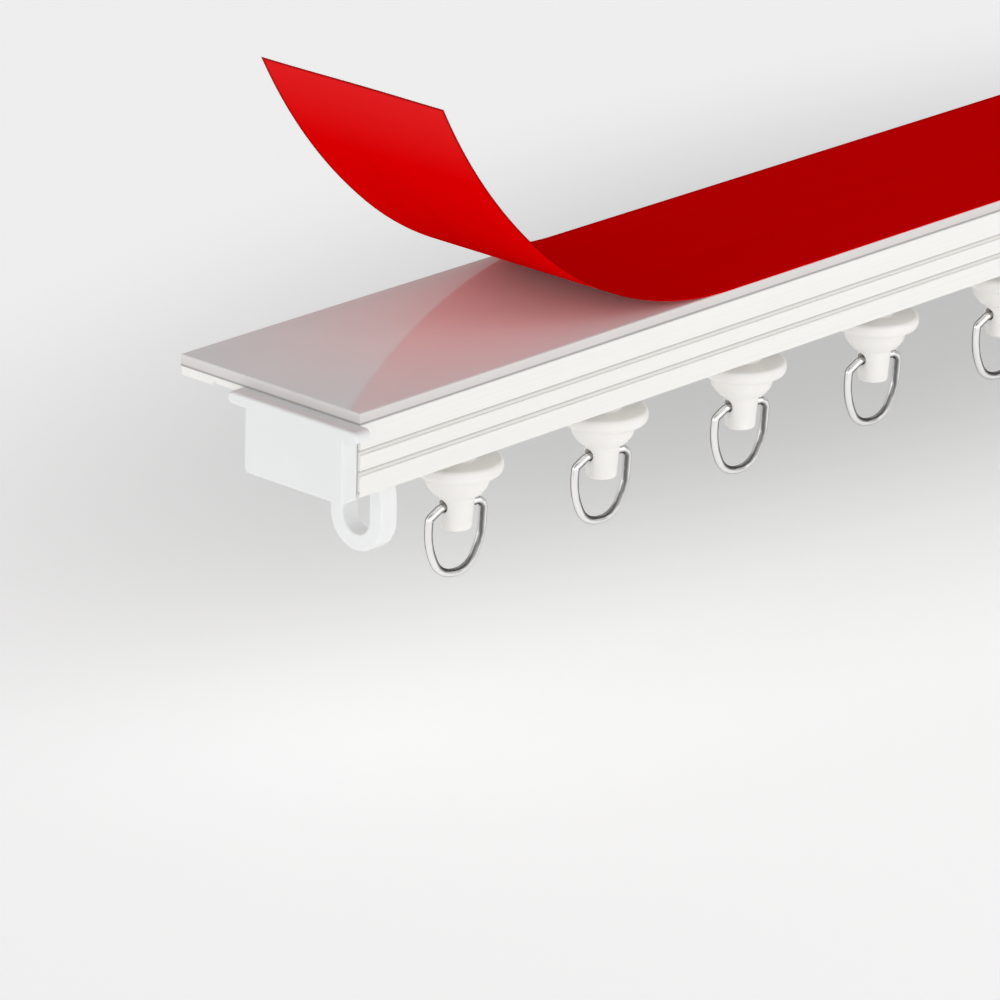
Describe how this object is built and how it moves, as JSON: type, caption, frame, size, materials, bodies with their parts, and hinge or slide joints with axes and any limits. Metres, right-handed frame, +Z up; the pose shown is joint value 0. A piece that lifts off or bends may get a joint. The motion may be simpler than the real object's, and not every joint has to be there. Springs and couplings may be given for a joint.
{
  "type": "curtain track",
  "caption": "Stick-on plastic curtain track with a slotted channel, adhesive tape under a half-peeled red liner, end caps with eyes, and gliders that carry wire rings.",
  "frame": {"origin": "centre of the tape's adhesive face, halfway along the track and across the plate", "axes": "+X along the track from the peeled end, +Y from the grooved front wall towards the free flange, +Z up out of the adhesive face"},
  "size_m": [0.3244, 0.0423, 0.0856],
  "materials": {
    "rail_pvc": "satin warm white extruded PVC",
    "clear_tape": "thick translucent grey adhesive gel tape",
    "red_film": "glossy red release film",
    "cap_plastic": "satin cool white moulding",
    "glider_nylon": "slightly translucent white moulding",
    "ring_steel": "bright polished plated wire"
  },
  "bodies": {
    "track": {"track_profile": "rail_pvc", "adhesive_tape": "clear_tape", "release_liner": "red_film", "end_cap_left": "cap_plastic", "end_cap_right": "cap_plastic"},
    "glider_1": {"glider_1": "glider_nylon"},
    "ring_1": {"ring_1": "ring_steel"},
    "glider_2": {"glider_2": "glider_nylon"},
    "ring_2": {"ring_2": "ring_steel"},
    "glider_3": {"glider_3": "glider_nylon"},
    "ring_3": {"ring_3": "ring_steel"},
    "glider_4": {"glider_4": "glider_nylon"},
    "ring_4": {"ring_4": "ring_steel"},
    "glider_5": {"glider_5": "glider_nylon"},
    "ring_5": {"ring_5": "ring_steel"},
    "glider_6": {"glider_6": "glider_nylon"},
    "ring_6": {"ring_6": "ring_steel"},
    "glider_7": {"glider_7": "glider_nylon"},
    "ring_7": {"ring_7": "ring_steel"},
    "glider_8": {"glider_8": "glider_nylon"},
    "ring_8": {"ring_8": "ring_steel"}
  },
  "joints": [
    {"name": "glider_1_slide", "type": "slide", "parent": "track", "child": "glider_1", "axis": [1, 0, 0], "range_m": [-0.0121, 0.0198]},
    {"name": "glider_2_slide", "type": "slide", "parent": "track", "child": "glider_2", "axis": [1, 0, 0], "range_m": [-0.0198, 0.0198]},
    {"name": "glider_3_slide", "type": "slide", "parent": "track", "child": "glider_3", "axis": [1, 0, 0], "range_m": [-0.0198, 0.0198]},
    {"name": "glider_4_slide", "type": "slide", "parent": "track", "child": "glider_4", "axis": [1, 0, 0], "range_m": [-0.0198, 0.0198]},
    {"name": "glider_5_slide", "type": "slide", "parent": "track", "child": "glider_5", "axis": [1, 0, 0], "range_m": [-0.0198, 0.0198]},
    {"name": "glider_6_slide", "type": "slide", "parent": "track", "child": "glider_6", "axis": [1, 0, 0], "range_m": [-0.0198, 0.0198]},
    {"name": "glider_7_slide", "type": "slide", "parent": "track", "child": "glider_7", "axis": [1, 0, 0], "range_m": [-0.0198, 0.0198]},
    {"name": "glider_8_slide", "type": "slide", "parent": "track", "child": "glider_8", "axis": [1, 0, 0], "range_m": [-0.0198, 0.0121]},
    {"name": "ring_1_swing", "type": "hinge", "parent": "glider_1", "child": "ring_1", "pos_m": [-0.1239, -0.0085, -0.0273], "axis": [0.9848, -0.1736, 0], "range_deg": [-115, 115]},
    {"name": "ring_2_swing", "type": "hinge", "parent": "glider_2", "child": "ring_2", "pos_m": [-0.0885, -0.0085, -0.0273], "axis": [0.9848, -0.1736, 0], "range_deg": [-115, 115]},
    {"name": "ring_3_swing", "type": "hinge", "parent": "glider_3", "child": "ring_3", "pos_m": [-0.0531, -0.0085, -0.0273], "axis": [0.9848, -0.1736, 0], "range_deg": [-115, 115]},
    {"name": "ring_4_swing", "type": "hinge", "parent": "glider_4", "child": "ring_4", "pos_m": [-0.0177, -0.0085, -0.0273], "axis": [0.9848, -0.1736, 0], "range_deg": [-115, 115]},
    {"name": "ring_5_swing", "type": "hinge", "parent": "glider_5", "child": "ring_5", "pos_m": [0.0177, -0.0085, -0.0273], "axis": [0.9848, -0.1736, 0], "range_deg": [-115, 115]},
    {"name": "ring_6_swing", "type": "hinge", "parent": "glider_6", "child": "ring_6", "pos_m": [0.0531, -0.0085, -0.0273], "axis": [0.9848, -0.1736, 0], "range_deg": [-115, 115]},
    {"name": "ring_7_swing", "type": "hinge", "parent": "glider_7", "child": "ring_7", "pos_m": [0.0885, -0.0085, -0.0273], "axis": [0.9848, -0.1736, 0], "range_deg": [-115, 115]},
    {"name": "ring_8_swing", "type": "hinge", "parent": "glider_8", "child": "ring_8", "pos_m": [0.1239, -0.0085, -0.0273], "axis": [0.9848, -0.1736, 0], "range_deg": [-115, 115]}
  ]
}
